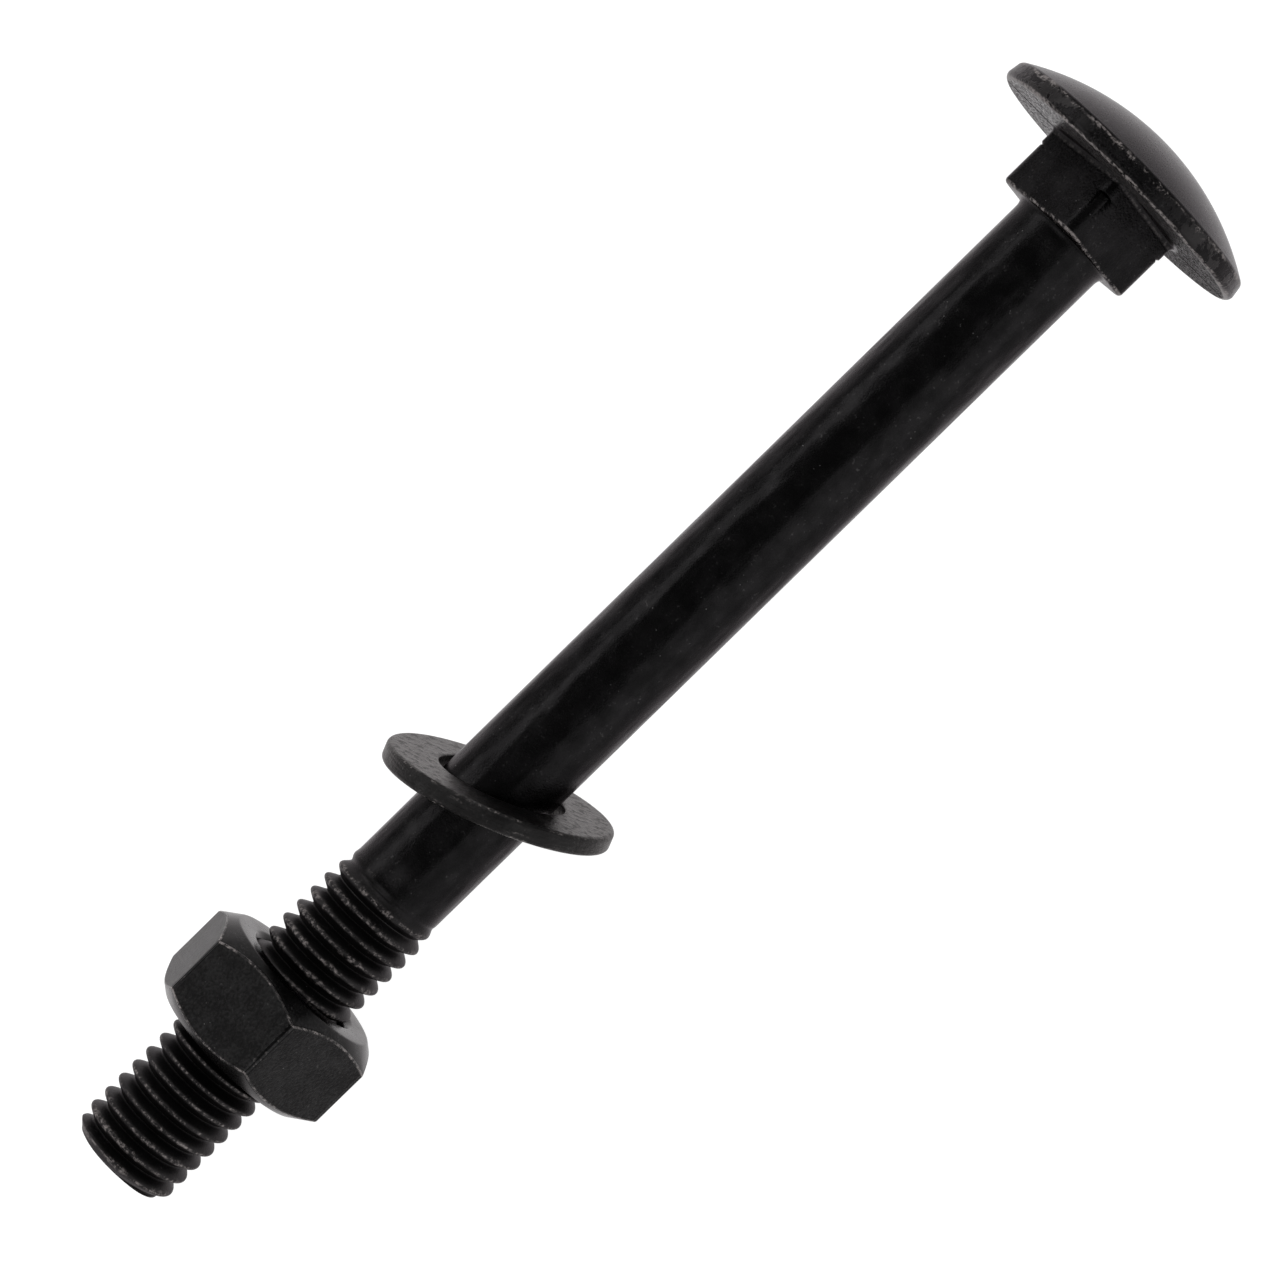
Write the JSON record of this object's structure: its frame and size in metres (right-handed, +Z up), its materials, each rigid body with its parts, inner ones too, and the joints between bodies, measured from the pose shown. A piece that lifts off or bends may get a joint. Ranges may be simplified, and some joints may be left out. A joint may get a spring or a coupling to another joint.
{
  "type": "carriage bolt",
  "caption": "Black carriage bolt with a domed round head, a square neck, a plain shank and a threaded end, with a hexagon nut on its thread and a loose flat washer.",
  "frame": {"origin": "centre of the bounding box on the level surface that the bolt lies on", "axes": "+X along the bolt from its tip to its head, +Z up"},
  "size_m": [0.0938, 0.0202, 0.0202],
  "materials": {
    "black_bolt_steel": "black conversion coating on steel, satin, worn to brown metal on the edges",
    "black_washer_steel": "black conversion coating on punched steel, satin grey sheen with fine scratches",
    "black_nut_steel": "black conversion coating on steel, fine-grained satin, light worn chamfer edges"
  },
  "bodies": {
    "bolt": {"carriage_bolt": "black_bolt_steel"},
    "washer": {"flat_washer": "black_washer_steel"},
    "nut": {"hex_nut": "black_nut_steel"}
  },
  "joints": [
    {"name": "nut_travel", "type": "slide", "parent": "bolt", "child": "nut", "axis": [0.9989, 0, 0.046], "range_m": [-0.01, 0.00625]},
    {"name": "washer_slide", "type": "slide", "parent": "bolt", "child": "washer", "axis": [0.9989, 0, 0.046], "range_m": [-0.0065, 0.047]}
  ]
}
